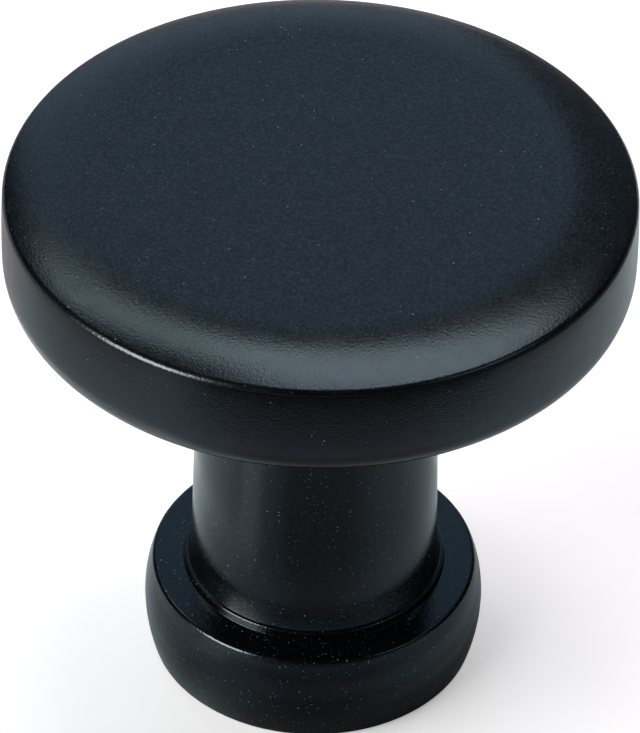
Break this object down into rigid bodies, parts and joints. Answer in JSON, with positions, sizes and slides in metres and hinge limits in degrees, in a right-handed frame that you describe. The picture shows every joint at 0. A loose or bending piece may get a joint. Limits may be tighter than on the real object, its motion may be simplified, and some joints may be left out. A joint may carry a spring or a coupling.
{
  "type": "cabinet knob",
  "caption": "Round cabinet knob cast in one piece: a crowned disc head on a plain stem that flares onto a bulged foot, with a blind tapped hole for a fixing screw.",
  "frame": {"origin": "centre of the foot's flat seat, on the knob's axis", "axes": "+Z along the knob's axis, from the seat to the crown of the head"},
  "size_m": [0.032, 0.032, 0.0303],
  "materials": {
    "black_coating": "satin black paint over cast zinc alloy, with a fine orange peel"
  },
  "bodies": {
    "root": {"knob": "black_coating"}
  },
  "joints": []
}
